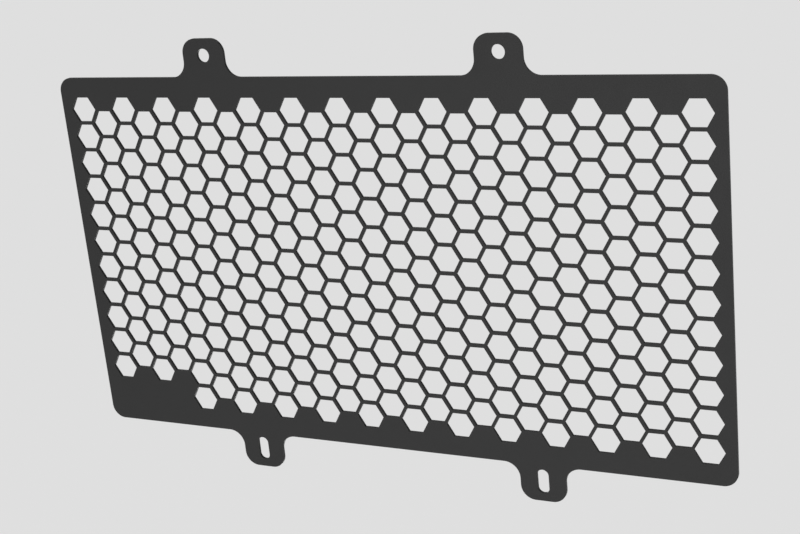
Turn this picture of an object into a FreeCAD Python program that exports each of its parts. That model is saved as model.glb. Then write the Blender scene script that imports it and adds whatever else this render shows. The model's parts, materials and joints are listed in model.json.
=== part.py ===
import FreeCAD, Part
import math
import os

from FreeCAD import Vector

# Motorcycle radiator guard: one flat sheet, cut to its outline with four fixing ears
# and a honeycomb of air holes. All sizes are in millimetres.
# It stands as it is worn: X runs along its length, Z is up and its front looks along -Y.
# The origin is midway between the two upper bolt holes, on the back face.

# Sheet, without its ears
sheet_thickness = 1.5
sheet_width = 340.4
sheet_height = 186.4
corner_radius = 7.0

# Ears, all four alike
ear_width = 23.0
ear_reach = 18.7
ear_tip_radius = 7.2
ear_root_radius = 7.8

# Bolt holes in the upper ears; the pair sits a little left of the sheet's middle
bolt_hole_diameter = 6.7
bolt_spacing = 152.0
bolt_shift = -5.6
bolt_rise = 10.5

# Upright slots in the lower ears, which take up what the radiator's lower points vary by
slot_width = 5.8
slot_length = 12.3
slot_spacing = 154.0
slot_drop = 8.5

# Honeycomb, as many whole hexagons as leave at least this border all round
hexagon_across_flats = 12.4
web_width = 1.6
least_border = 5.0

# Columns at the left that end one hexagon early, so the lower corner keeps a plain patch
patch_columns = 4

# Places that follow from the sizes above
sheet_middle = -bolt_shift
sheet_top = -bolt_rise
sheet_bottom = sheet_top - sheet_height


def spot(x, z):
    return Vector(x, 0, z)


def pair_about(middle, spacing):
    return [middle - spacing / 2, middle + spacing / 2]


def rounded_outline(corners):
    # Closed wire through corners given as x, z and radius, each one turned by an arc.
    points = [spot(x, z) for x, z, _ in corners]
    turns = []
    for index, (_, _, radius) in enumerate(corners):
        corner = points[index]
        back = (points[index - 1] - corner).normalize()
        ahead = (points[(index + 1) % len(points)] - corner).normalize()
        half_angle = back.getAngle(ahead) / 2
        tangent = radius / math.tan(half_angle)
        depth = radius / math.sin(half_angle) - radius
        inward = (back + ahead).normalize()
        turns.append((corner + back * tangent, corner + inward * depth, corner + ahead * tangent))
    edges = []
    for index, (start, middle, end) in enumerate(turns):
        previous_end = turns[index - 1][2]
        edges.append(Part.makeLine(previous_end, start))
        edges.append(Part.Arc(start, middle, end).toShape())
    return Part.Wire(edges)


def ear_corners(middle, edge, reach):
    # Four corners from left to right; reach is positive for an ear that points up.
    left = middle - ear_width / 2
    right = middle + ear_width / 2
    return [
        (left, edge, ear_root_radius),
        (left, edge + reach, ear_tip_radius),
        (right, edge + reach, ear_tip_radius),
        (right, edge, ear_root_radius),
    ]


def sheet_outline():
    # Clockwise from the upper left corner, seen from the front.
    left = sheet_middle - sheet_width / 2
    right = sheet_middle + sheet_width / 2
    corners = [(left, sheet_top, corner_radius)]
    for middle in pair_about(0, bolt_spacing):
        corners += ear_corners(middle, sheet_top, ear_reach)
    corners.append((right, sheet_top, corner_radius))
    corners.append((right, sheet_bottom, corner_radius))
    for middle in reversed(pair_about(sheet_middle, slot_spacing)):
        corners += reversed(ear_corners(middle, sheet_bottom, -ear_reach))
    corners.append((left, sheet_bottom, corner_radius))
    return rounded_outline(corners)


def bolt_hole(x):
    circle = Part.makeCircle(bolt_hole_diameter / 2, spot(x, 0), Vector(0, 1, 0))
    return Part.Wire([circle])


def slot(x):
    half_width = slot_width / 2
    half_length = slot_length / 2
    straight = half_length - half_width
    z = sheet_bottom - slot_drop
    left_low = spot(x - half_width, z - straight)
    left_high = spot(x - half_width, z + straight)
    right_high = spot(x + half_width, z + straight)
    right_low = spot(x + half_width, z - straight)
    edges = [
        Part.makeLine(left_low, left_high),
        Part.Arc(left_high, spot(x, z + half_length), right_high).toShape(),
        Part.makeLine(right_high, right_low),
        Part.Arc(right_low, spot(x, z - half_length), left_low).toShape(),
    ]
    return Part.Wire(edges)


def hexagon(x, z):
    # Flat sides above and below, points to the left and right.
    radius = hexagon_across_flats / math.sqrt(3)
    angles = [math.radians(60 * side) for side in range(7)]
    return Part.makePolygon([spot(x + radius * math.cos(a), z + radius * math.sin(a)) for a in angles])


def fitting_count(room, size, step):
    # How many holes of this size fit in the room, one step apart.
    return int((room - 2 * least_border - size) / step) + 1


def honeycomb():
    # Every second column sits half a step lower and is one hexagon shorter.
    step_up = hexagon_across_flats + web_width
    step_across = step_up * math.sqrt(3) / 2
    across_points = 2 * hexagon_across_flats / math.sqrt(3)
    columns = fitting_count(sheet_width, across_points, step_across)
    rows = fitting_count(sheet_height, hexagon_across_flats, step_up)
    first_x = sheet_middle - (columns - 1) * step_across / 2
    first_z = (sheet_top + sheet_bottom) / 2 + (rows - 1) * step_up / 2
    holes = []
    for column in range(columns):
        lowered = column % 2
        count = rows - lowered
        if column < patch_columns:
            count -= 1
        for row in range(count):
            x = first_x + column * step_across
            z = first_z - (row + lowered / 2) * step_up
            holes.append(hexagon(x, z))
    return holes


def guard_plate():
    bolt_holes = [bolt_hole(x) for x in pair_about(0, bolt_spacing)]
    slots = [slot(x) for x in pair_about(sheet_middle, slot_spacing)]
    wires = [sheet_outline()] + bolt_holes + slots + honeycomb()
    face = Part.makeFace(wires, "Part::FaceMakerBullseye")
    return face.extrude(Vector(0, -sheet_thickness, 0))


os.makedirs("parts", exist_ok=True)
plate = guard_plate()
plate.exportStep("parts/guard_plate.step")
print("guard_plate", plate.ShapeType, plate.isValid(), round(plate.Volume), "mm3")
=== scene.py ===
import bpy
import json
import math
from mathutils import Matrix, Vector


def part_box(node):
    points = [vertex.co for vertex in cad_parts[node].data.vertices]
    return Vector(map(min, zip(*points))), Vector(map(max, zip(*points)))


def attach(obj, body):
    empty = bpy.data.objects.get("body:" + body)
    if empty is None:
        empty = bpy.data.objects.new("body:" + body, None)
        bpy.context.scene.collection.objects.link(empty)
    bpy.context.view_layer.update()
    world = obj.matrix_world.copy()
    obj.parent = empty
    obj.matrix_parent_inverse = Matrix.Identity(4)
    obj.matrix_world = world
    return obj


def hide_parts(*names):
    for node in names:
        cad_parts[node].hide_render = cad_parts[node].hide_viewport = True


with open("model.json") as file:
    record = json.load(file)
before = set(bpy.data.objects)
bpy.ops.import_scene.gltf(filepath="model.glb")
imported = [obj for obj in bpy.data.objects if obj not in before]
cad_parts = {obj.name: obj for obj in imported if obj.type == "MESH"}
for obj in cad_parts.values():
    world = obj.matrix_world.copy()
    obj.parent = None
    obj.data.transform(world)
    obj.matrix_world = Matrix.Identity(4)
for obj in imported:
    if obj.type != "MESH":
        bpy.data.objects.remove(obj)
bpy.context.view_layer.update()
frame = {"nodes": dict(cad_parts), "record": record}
print("frame loaded:", ", ".join(frame["nodes"]))

millimetresPerMetre = 1000
nodeGrid = (200, -160)  # how far apart the nodes stand in the node editor


def addNode(tree, kind, at, **settings):
    node = tree.nodes.new(kind)
    node.location = (at[0] * nodeGrid[0], at[1] * nodeGrid[1])
    for name, value in settings.items():
        setattr(node, name, value)
    return node


def feed(tree, socket, value):
    # a socket is linked, a plain value is typed in
    if isinstance(value, bpy.types.NodeSocket):
        tree.links.new(value, socket)
    else:
        socket.default_value = value


def calc(tree, operation, first, second=0.0, at=(0, 0)):
    node = addNode(tree, "ShaderNodeMath", at, operation=operation)
    feed(tree, node.inputs[0], first)
    feed(tree, node.inputs[1], second)
    return node.outputs[0]


def asVector(tree, x, y, z=0.0, at=(0, 0)):
    node = addNode(tree, "ShaderNodeCombineXYZ", at)
    for socket, value in zip(node.inputs, (x, y, z)):
        feed(tree, socket, value)
    return node.outputs[0]


# the coat: a matt black powder, baked on, with its fine pebbled skin
powderCoat = {
    "colour": 0.0375,
    "colourSpread": 0.03,  # share lighter or darker from one area to the next
    "cloudSize": 0.06,  # sizes and heights are in metres
    "cloudDetail": 3.0,
    "roughness": 0.42,
    "roughnessSpread": 0.05,
    "sheenSize": 0.012,
    "sheenDetail": 2.0,
    "noiseLow": 0.3,  # the noise stays mostly between these two
    "noiseHigh": 0.7,
    "specularLevel": 0.07,
    "pebbleSize": 0.00055,
    "pebbleHeight": 0.000045,
    "grainSize": 0.0002,
    "grainHeight": 0.00001,
    "skinDetail": 1.0,
}


def blackPowderCoat(look):
    coat = bpy.data.materials.new("blackPowderCoat")
    coat.use_nodes = True
    tree = coat.node_tree
    tree.nodes.clear()
    place = addNode(tree, "ShaderNodeTexCoord", (0, 2)).outputs["Object"]

    def noise(size, detail, row):
        node = addNode(tree, "ShaderNodeTexNoise", (1, row))
        feed(tree, node.inputs["Vector"], place)
        feed(tree, node.inputs["Scale"], 1 / size)
        feed(tree, node.inputs["Detail"], detail)
        return node.outputs["Fac"]

    def spread(value, middle, share, row):
        node = addNode(tree, "ShaderNodeMapRange", (2, row))
        feed(tree, node.inputs["Value"], value)
        feed(tree, node.inputs["From Min"], look["noiseLow"])
        feed(tree, node.inputs["From Max"], look["noiseHigh"])
        feed(tree, node.inputs["To Min"], middle * (1 - share))
        feed(tree, node.inputs["To Max"], middle * (1 + share))
        return node.outputs["Result"]

    def bumps(size, height, row):
        node = addNode(tree, "ShaderNodeBump", (2, row))
        feed(tree, node.inputs["Height"], noise(size, look["skinDetail"], row))
        feed(tree, node.inputs["Distance"], height)
        return node

    clouds = noise(look["cloudSize"], look["cloudDetail"], 0)
    shade = spread(clouds, look["colour"], look["colourSpread"], 0)
    colour = addNode(tree, "ShaderNodeCombineColor", (3, 0))
    for name in ("Red", "Green", "Blue"):
        feed(tree, colour.inputs[name], shade)
    patches = noise(look["sheenSize"], look["sheenDetail"], 1)
    sheen = spread(patches, look["roughness"], look["roughnessSpread"], 1)

    pebbles = bumps(look["pebbleSize"], look["pebbleHeight"], 3)
    grain = bumps(look["grainSize"], look["grainHeight"], 4)
    feed(tree, grain.inputs["Normal"], pebbles.outputs["Normal"])

    shader = addNode(tree, "ShaderNodeBsdfPrincipled", (4, 1))
    feed(tree, shader.inputs["Base Color"], colour.outputs["Color"])
    feed(tree, shader.inputs["Roughness"], sheen)
    feed(tree, shader.inputs["Specular IOR Level"], look["specularLevel"])
    feed(tree, shader.inputs["Normal"], grain.outputs["Normal"])
    output = addNode(tree, "ShaderNodeOutputMaterial", (5, 1))
    feed(tree, output.inputs["Surface"], shader.outputs["BSDF"])
    return coat


# the guard: one sheet, laser cut and coated; sizes in millimetres
mounts = {mount["name"]: mount for mount in frame["record"]["mounts"]}
upperBolts = mounts["upper_bolts"]["dims"]
slotPlaces = [
    Vector(mounts[name]["pos_m"]) * millimetresPerMetre
    for name in ("lower_slot_left", "lower_slot_right")
]
cadLow, cadHigh = [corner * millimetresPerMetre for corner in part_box("guard_plate")]
guardSheet = {
    "thickness": cadHigh.y - cadLow.y,
    "left": cadLow.x,
    "right": cadHigh.x,
    "top": -10.5,
    "bottom": -196.9,
    "cornerRadius": 7.0,
    "earTop": cadHigh.z,
    "earBottom": cadLow.z,
    "earWidth": 23.0,
    "earTipRadius": 7.2,
    "earRootRadius": 7.8,
    "turnPoints": 24,  # points on each rounded corner
    "borePoints": 48,  # points round each bolt hole and slot
    "weldDistance": 0.001,
    "crispDegrees": 30,  # an edge that turns by more stays crisp
    "edgeRounding": 0.05,  # the coat rolls over the cut edges
    "roundedDegrees": 75,  # only the cut edges turn by more; corners in a hexagon turn by 60
    "roundingSegments": 2,
    "Bolt Hole Diameter": upperBolts["hole_r_mm"] * 2,
    "Bolt Spacing": upperBolts["spacing_x_mm"],
    "Slot Width": 5.8,
    "Slot Length": 12.3,
    "Slot Spacing": slotPlaces[1].x - slotPlaces[0].x,
    "Slot Height": slotPlaces[0].z,
    "Hexagon Across Flats": 12.4,
    "Web Width": 1.6,
    "Columns": 27,
    "Rows": 12,
    "Short Columns": 4,  # at the left, where the plain patch is
}


def outlineCorners(sheet):
    # x, z and turning radius, clockwise from the upper left corner
    def ear(middle, edge, tip):
        left = middle - sheet["earWidth"] / 2
        right = middle + sheet["earWidth"] / 2
        return [
            (left, edge, sheet["earRootRadius"]),
            (left, tip, sheet["earTipRadius"]),
            (right, tip, sheet["earTipRadius"]),
            (right, edge, sheet["earRootRadius"]),
        ]

    halfBolts = sheet["Bolt Spacing"] / 2
    corners = [(sheet["left"], sheet["top"], sheet["cornerRadius"])]
    corners += ear(-halfBolts, sheet["top"], sheet["earTop"])
    corners += ear(halfBolts, sheet["top"], sheet["earTop"])
    corners.append((sheet["right"], sheet["top"], sheet["cornerRadius"]))
    corners.append((sheet["right"], sheet["bottom"], sheet["cornerRadius"]))
    for place in reversed(slotPlaces):
        corners += reversed(ear(place.x, sheet["bottom"], sheet["earBottom"]))
    corners.append((sheet["left"], sheet["bottom"], sheet["cornerRadius"]))
    return corners


def outlineMesh(sheet):
    corners = outlineCorners(sheet)
    mesh = bpy.data.meshes.new("guardOutline")
    links = [(index, (index + 1) % len(corners)) for index in range(len(corners))]
    mesh.from_pydata([(x, z, 0) for x, z, _ in corners], links, [])
    turn = mesh.attributes.new("turnRadius", "FLOAT", "POINT")
    turn.data.foreach_set("value", [radius for _, _, radius in corners])
    return mesh


# the cutting tree's inputs, by kind
cutInputs = {
    "Geometry": ["Outline"],
    "Float": [
        "Thickness", "Middle X", "Middle Y", "Bolt Hole Diameter", "Bolt Spacing",
        "Slot Width", "Slot Length", "Slot Spacing", "Slot Height",
        "Hexagon Across Flats", "Web Width",
    ],
    "Int": ["Turn Points", "Columns", "Rows", "Short Columns"],
    "Material": ["Coat"],
}


def cutSheetTree(sheet):
    # lays the sheet out flat in millimetres, cuts it, thickens it and stands it up
    tree = bpy.data.node_groups.new("cutSheet", "GeometryNodeTree")
    tree.interface.new_socket("Geometry", in_out="OUTPUT", socket_type="NodeSocketGeometry")
    for kind, names in cutInputs.items():
        for name in names:
            tree.interface.new_socket(name, in_out="INPUT", socket_type="NodeSocket" + kind)
    given = addNode(tree, "NodeGroupInput", (0, 0)).outputs

    def circle(points, width, share, at):
        # a circle of that many points, its radius this share of the width
        node = addNode(tree, "GeometryNodeCurvePrimitiveCircle", at, mode="RADIUS")
        feed(tree, node.inputs["Resolution"], points)
        feed(tree, node.inputs["Radius"], calc(tree, "MULTIPLY", width, share, (at[0] - 1, at[1])))
        return node.outputs["Curve"]

    def pair(shape, spacing, middle, height, level):
        # the shape at two places, as far apart as spacing
        half = calc(tree, "MULTIPLY", spacing, 0.5, (3, level))
        left = calc(tree, "SUBTRACT", middle, half, (4, level))
        right = calc(tree, "ADD", middle, half, (4, level + 1))
        ends = addNode(tree, "GeometryNodeMeshLine", (6, level), mode="END_POINTS")
        feed(tree, ends.inputs["Count"], 2)
        feed(tree, ends.inputs["Start Location"], asVector(tree, left, height, at=(5, level)))
        feed(tree, ends.inputs["Offset"], asVector(tree, right, height, at=(5, level + 1)))  # the far end
        placed = addNode(tree, "GeometryNodeInstanceOnPoints", (12, level))
        feed(tree, placed.inputs["Points"], ends.outputs["Mesh"])
        feed(tree, placed.inputs["Instance"], shape)
        return placed.outputs["Instances"]

    # outline with its corners turned
    line = addNode(tree, "GeometryNodeMeshToCurve", (1, 0))
    feed(tree, line.inputs["Mesh"], given["Outline"])
    radius = addNode(tree, "GeometryNodeInputNamedAttribute", (1, 1), data_type="FLOAT")
    feed(tree, radius.inputs["Name"], "turnRadius")
    turned = addNode(tree, "GeometryNodeFilletCurve", (2, 0), mode="POLY")
    feed(tree, turned.inputs["Curve"], line.outputs["Curve"])
    feed(tree, turned.inputs["Count"], given["Turn Points"])
    feed(tree, turned.inputs["Radius"], radius.outputs["Attribute"])

    # honeycomb: one point for each hexagon, counted down the columns from the left
    step = calc(tree, "ADD", given["Hexagon Across Flats"], given["Web Width"], (1, 3))
    index = addNode(tree, "GeometryNodeInputIndex", (1, 4)).outputs["Index"]
    columnsPassed = calc(tree, "DIVIDE", index, given["Rows"], (2, 4))
    column = calc(tree, "FLOOR", columnsPassed, at=(3, 4))
    columnStart = calc(tree, "MULTIPLY", column, given["Rows"], (4, 4))
    row = calc(tree, "SUBTRACT", index, columnStart, (5, 4))
    lowered = calc(tree, "MODULO", column, 2.0, (4, 5))  # every second column sits half a step lower

    # columns stand closer than rows: half the root of three times the step
    lastColumn = calc(tree, "SUBTRACT", given["Columns"], 1.0, (3, 6))
    middleColumn = calc(tree, "MULTIPLY", lastColumn, 0.5, (4, 6))
    across = calc(tree, "SUBTRACT", column, middleColumn, (5, 6))
    stepsAcross = calc(tree, "MULTIPLY", across, math.sqrt(3) / 2, (6, 6))
    shiftX = calc(tree, "MULTIPLY", stepsAcross, step, (7, 6))
    x = calc(tree, "ADD", shiftX, given["Middle X"], (8, 6))

    lastRow = calc(tree, "SUBTRACT", given["Rows"], 1.0, (3, 7))
    middleRow = calc(tree, "MULTIPLY", lastRow, 0.5, (4, 7))
    halfStep = calc(tree, "MULTIPLY", lowered, 0.5, (5, 7))
    down = calc(tree, "ADD", row, halfStep, (6, 7))
    stepsUp = calc(tree, "SUBTRACT", middleRow, down, (7, 7))
    shiftY = calc(tree, "MULTIPLY", stepsUp, step, (8, 7))
    y = calc(tree, "ADD", shiftY, given["Middle Y"], (9, 7))

    # a lowered column is one hexagon shorter, and so is a short one
    short = calc(tree, "LESS_THAN", column, given["Short Columns"], (5, 8))
    fullColumn = calc(tree, "SUBTRACT", given["Rows"], lowered, (6, 8))
    count = calc(tree, "SUBTRACT", fullColumn, short, (7, 8))
    kept = calc(tree, "LESS_THAN", row, count, (8, 8))

    points = addNode(tree, "GeometryNodePoints", (11, 3))
    feed(tree, points.inputs["Count"], calc(tree, "MULTIPLY", given["Columns"], given["Rows"], (3, 3)))
    feed(tree, points.inputs["Position"], asVector(tree, x, y, at=(10, 6)))
    honeycomb = addNode(tree, "GeometryNodeInstanceOnPoints", (12, 4))
    feed(tree, honeycomb.inputs["Points"], points.outputs[0])
    feed(tree, honeycomb.inputs["Selection"], kept)
    hexagon = circle(6, given["Hexagon Across Flats"], 1 / math.sqrt(3), (11, 5))
    feed(tree, honeycomb.inputs["Instance"], hexagon)

    bore = circle(sheet["borePoints"], given["Bolt Hole Diameter"], 0.5, (11, 10))
    bores = pair(bore, given["Bolt Spacing"], 0.0, 0.0, 10)

    # slot: a circle pulled apart, turned by half a segment so that its sides stay upright
    ring = addNode(tree, "GeometryNodeTransform", (8, 13))
    feed(tree, ring.inputs["Geometry"], circle(sheet["borePoints"], given["Slot Width"], 0.5, (7, 13)))
    feed(tree, ring.inputs["Rotation"], (0, 0, math.pi / sheet["borePoints"]))
    position = addNode(tree, "GeometryNodeInputPosition", (6, 14)).outputs["Position"]
    parts = addNode(tree, "ShaderNodeSeparateXYZ", (7, 14))
    feed(tree, parts.inputs[0], position)
    side = calc(tree, "SIGN", parts.outputs["Y"], at=(8, 14))
    lengthened = calc(tree, "SUBTRACT", given["Slot Length"], given["Slot Width"], (7, 15))
    straight = calc(tree, "MULTIPLY", lengthened, 0.5, (8, 15))
    pull = calc(tree, "MULTIPLY", side, straight, (9, 14))
    slot = addNode(tree, "GeometryNodeSetPosition", (10, 13))
    feed(tree, slot.inputs["Geometry"], ring.outputs["Geometry"])
    feed(tree, slot.inputs["Offset"], asVector(tree, 0.0, pull, at=(9, 15)))
    slotCurve = slot.outputs["Geometry"]
    slots = pair(slotCurve, given["Slot Spacing"], given["Middle X"], given["Slot Height"], 16)

    # cut all of it from one flat face, then thicken that and close its back
    lines = addNode(tree, "GeometryNodeJoinGeometry", (13, 2))
    for source in (turned.outputs["Curve"], honeycomb.outputs["Instances"], bores, slots):
        feed(tree, lines.inputs["Geometry"], source)
    flatLines = addNode(tree, "GeometryNodeRealizeInstances", (14, 2))
    feed(tree, flatLines.inputs["Geometry"], lines.outputs["Geometry"])
    face = addNode(tree, "GeometryNodeFillCurve", (15, 2))
    feed(tree, face.inputs["Curve"], flatLines.outputs["Geometry"])
    raised = addNode(tree, "GeometryNodeExtrudeMesh", (16, 1), mode="FACES")
    feed(tree, raised.inputs["Mesh"], face.outputs["Mesh"])
    feed(tree, raised.inputs["Offset Scale"], given["Thickness"])
    feed(tree, raised.inputs["Individual"], False)
    back = addNode(tree, "GeometryNodeFlipFaces", (16, 3))
    feed(tree, back.inputs["Mesh"], face.outputs["Mesh"])
    both = addNode(tree, "GeometryNodeJoinGeometry", (17, 2))
    feed(tree, both.inputs["Geometry"], raised.outputs["Mesh"])
    feed(tree, both.inputs["Geometry"], back.outputs["Mesh"])
    closed = addNode(tree, "GeometryNodeMergeByDistance", (18, 2))
    feed(tree, closed.inputs["Geometry"], both.outputs["Geometry"])
    feed(tree, closed.inputs["Distance"], sheet["weldDistance"])

    # round corners and bores shade smoothly, every sharper edge stays crisp
    smooth = addNode(tree, "GeometryNodeSetShadeSmooth", (19, 0), domain="FACE")
    feed(tree, smooth.inputs["Geometry"], closed.outputs["Geometry"])
    angle = addNode(tree, "GeometryNodeInputMeshEdgeAngle", (18, 4)).outputs["Unsigned Angle"]
    sharp = calc(tree, "GREATER_THAN", angle, math.radians(sheet["crispDegrees"]), (19, 4))
    crisp = addNode(tree, "GeometryNodeSetShadeSmooth", (20, 0), domain="EDGE")
    feed(tree, crisp.inputs["Geometry"], smooth.outputs["Geometry"])
    feed(tree, crisp.inputs["Selection"], sharp)
    feed(tree, crisp.inputs["Shade Smooth"], False)

    # millimetres to metres, and upright: what lay on top now looks forward
    upright = addNode(tree, "GeometryNodeTransform", (21, 2))
    feed(tree, upright.inputs["Geometry"], crisp.outputs["Geometry"])
    feed(tree, upright.inputs["Rotation"], (math.pi / 2, 0, 0))
    feed(tree, upright.inputs["Scale"], (1 / millimetresPerMetre,) * 3)
    real = addNode(tree, "GeometryNodeRealizeInstances", (22, 2))
    feed(tree, real.inputs["Geometry"], upright.outputs["Geometry"])
    coated = addNode(tree, "GeometryNodeSetMaterial", (23, 2))
    feed(tree, coated.inputs["Geometry"], real.outputs["Geometry"])
    feed(tree, coated.inputs["Material"], given["Coat"])
    result = addNode(tree, "NodeGroupOutput", (24, 2))
    feed(tree, result.inputs["Geometry"], coated.outputs["Geometry"])
    return tree


def makeGuardSheet(sheet, coat):
    blank = bpy.data.objects.new("guardBlank", outlineMesh(sheet))
    bpy.context.scene.collection.objects.link(blank)
    tree = cutSheetTree(sheet)
    cut = blank.modifiers.new("cutSheet", "NODES")
    cut.node_group = tree
    values = {
        "Thickness": sheet["thickness"],
        "Turn Points": sheet["turnPoints"],
        "Middle X": (sheet["left"] + sheet["right"]) / 2,
        "Middle Y": (sheet["top"] + sheet["bottom"]) / 2,
        "Coat": coat,
    }
    # the sheet's capitalised names are the tree's own inputs
    values.update({name: value for name, value in sheet.items() if name[0].isupper()})
    for socket in tree.interface.items_tree:
        if socket.in_out == "INPUT" and socket.name in values:
            cut[socket.identifier] = values[socket.name]

    rolled = blank.modifiers.new("rolledEdges", "BEVEL")
    rolled.width = sheet["edgeRounding"] / millimetresPerMetre
    rolled.segments = sheet["roundingSegments"]
    rolled.limit_method = "ANGLE"
    rolled.angle_limit = math.radians(sheet["roundedDegrees"])
    rolled.use_clamp_overlap = False
    rolled.loop_slide = False
    rolled.harden_normals = True

    bpy.context.view_layer.update()
    evaluated = blank.evaluated_get(bpy.context.evaluated_depsgraph_get())
    mesh = bpy.data.meshes.new_from_object(evaluated)
    bpy.data.objects.remove(blank)
    piece = bpy.data.objects.new("guard_sheet", mesh)
    bpy.context.scene.collection.objects.link(piece)
    print("guard sheet:", len(mesh.vertices), "vertices,", len(mesh.polygons), "faces")
    return piece


coat = blackPowderCoat(powderCoat)
sheetPiece = makeGuardSheet(guardSheet, coat)
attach(sheetPiece, "root")
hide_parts("guard_plate")


# floor and surround, both the same pale grey to the camera and in reflections
surround = {
    "colour": 0.738,
    "floorHeight": -1.8,
    "floorSize": 30.0,
    "shadowShare": 0.12,  # how much of the floor's own shading the camera sees
    "floorGlow": 1.093,  # brings the floor up to the same grey as the rest
    "fillLight": 0.24,  # the surround's strength as a light on the object
}


def seenDirectly(tree):
    # 1 for what the camera, a reflection or a clear material sees, 0 for light on the object
    path = addNode(tree, "ShaderNodeLightPath", (0, 0)).outputs
    cameraOrGlossy = calc(tree, "MAXIMUM", path["Is Camera Ray"], path["Is Glossy Ray"], (1, 0))
    return calc(tree, "MAXIMUM", cameraOrGlossy, path["Is Transmission Ray"], (2, 0))


def makeFloor(look):
    pale = (look["colour"],) * 3 + (1,)
    paint = bpy.data.materials.new("paleFloor")
    paint.use_nodes = True
    tree = paint.node_tree
    tree.nodes.clear()
    glow = addNode(tree, "ShaderNodeEmission", (3, 1))
    feed(tree, glow.inputs["Color"], pale)
    feed(tree, glow.inputs["Strength"], look["floorGlow"])
    matt = addNode(tree, "ShaderNodeBsdfDiffuse", (3, 2))
    feed(tree, matt.inputs["Color"], pale)
    glowShare = calc(tree, "MULTIPLY", seenDirectly(tree), 1 - look["shadowShare"], (3, 0))
    mixed = addNode(tree, "ShaderNodeMixShader", (4, 1))
    for socket, source in zip(mixed.inputs, (glowShare, matt.outputs["BSDF"], glow.outputs["Emission"])):
        feed(tree, socket, source)
    output = addNode(tree, "ShaderNodeOutputMaterial", (5, 1))
    feed(tree, output.inputs["Surface"], mixed.outputs["Shader"])

    half = look["floorSize"] / 2
    corners = [(-half, -half), (half, -half), (half, half), (-half, half)]
    mesh = bpy.data.meshes.new("floor")
    mesh.from_pydata([(x, y, look["floorHeight"]) for x, y in corners], [], [(0, 1, 2, 3)])
    mesh.materials.append(paint)
    floor = bpy.data.objects.new("floor", mesh)
    bpy.context.scene.collection.objects.link(floor)
    return floor


def makeWorld(look):
    world = bpy.data.worlds.new("surround")
    bpy.context.scene.world = world
    world.use_nodes = True
    tree = world.node_tree
    tree.nodes.clear()
    strength = addNode(tree, "ShaderNodeMapRange", (3, 0))
    feed(tree, strength.inputs["Value"], seenDirectly(tree))
    feed(tree, strength.inputs["To Min"], look["fillLight"])
    feed(tree, strength.inputs["To Max"], 1.0)
    sky = addNode(tree, "ShaderNodeBackground", (4, 0))
    feed(tree, sky.inputs["Color"], (look["colour"],) * 3 + (1,))
    feed(tree, sky.inputs["Strength"], strength.outputs["Result"])
    output = addNode(tree, "ShaderNodeOutputWorld", (5, 0))
    feed(tree, output.inputs["Surface"], sky.outputs["Background"])


makeFloor(surround)
makeWorld(surround)
print("floor and surround made")


# the key light is far off and broad
keyLight = {"from": (-0.45, -0.75, 0.48), "spreadDegrees": 60.0, "strength": 0.92}

# each soft box has its place, what it faces, its sides in metres and its watts
softBoxes = {
    "frontBox": {
        "place": (-0.4, -1.9, -0.54),
        "aim": (0.165, 0.0, -0.05),
        "sides": (1.0, 1.0),
        "watts": 15.0,
    },
    "lowBox": {
        "place": (0.42, -0.03, -0.72),
        "aim": (0.0, 0.0, -0.1),
        "sides": (0.25, 0.8),
        "watts": 5.0,
    },
    "backBox": {
        "place": (-0.95, 1.3, -1.0),
        "aim": (0.0, 0.0, -0.1),
        "sides": (1.3, 1.3),
        "watts": 21.0,
    },
}


def facing(place, aim):
    # the turn that points a lamp or camera at what it faces
    return (Vector(aim) - Vector(place)).to_track_quat("-Z", "Y")


def placeLamp(name, light, place, aim):
    lamp = bpy.data.objects.new(name, light)
    lamp.location = place
    lamp.rotation_mode = "QUATERNION"
    lamp.rotation_quaternion = facing(place, aim)
    lamp.visible_camera = False
    bpy.context.scene.collection.objects.link(lamp)


def makeLamps(key, boxes):
    sun = bpy.data.lights.new("keyLight", "SUN")
    sun.energy = key["strength"]
    sun.angle = math.radians(key["spreadDegrees"])
    placeLamp("keyLight", sun, key["from"], (0, 0, 0))
    for name, box in boxes.items():
        light = bpy.data.lights.new(name, "AREA")
        light.shape = "RECTANGLE"
        light.size, light.size_y = box["sides"]
        light.energy = box["watts"]
        placeLamp(name, light, box["place"], box["aim"])


makeLamps(keyLight, softBoxes)
print("lamps made")


# camera, from the right and above, slightly rolled
cameraView = {
    "place": (0.32688, -0.59930, 0.11430),
    "aim": (0.01733, 0.0, -0.10212),
    "rollDegrees": -5.747,
    "lens": 67.48,
    "sensorWidth": 36.0,
    "nearest": 0.01,  # what it can see lies between these two, in metres
    "farthest": 60.0,
}


def makeCamera(look):
    cameraData = bpy.data.cameras.new("camera")
    cameraData.lens = look["lens"]
    cameraData.sensor_width = look["sensorWidth"]
    cameraData.clip_start = look["nearest"]
    cameraData.clip_end = look["farthest"]
    camera = bpy.data.objects.new("camera", cameraData)
    towards = facing(look["place"], look["aim"]).to_matrix().to_4x4()
    roll = Matrix.Rotation(math.radians(look["rollDegrees"]), 4, "Z")
    camera.matrix_world = Matrix.Translation(look["place"]) @ towards @ roll
    bpy.context.scene.collection.objects.link(camera)
    bpy.context.scene.camera = camera


makeCamera(cameraView)
bpy.context.scene.view_settings.view_transform = "Standard"
print("camera set")
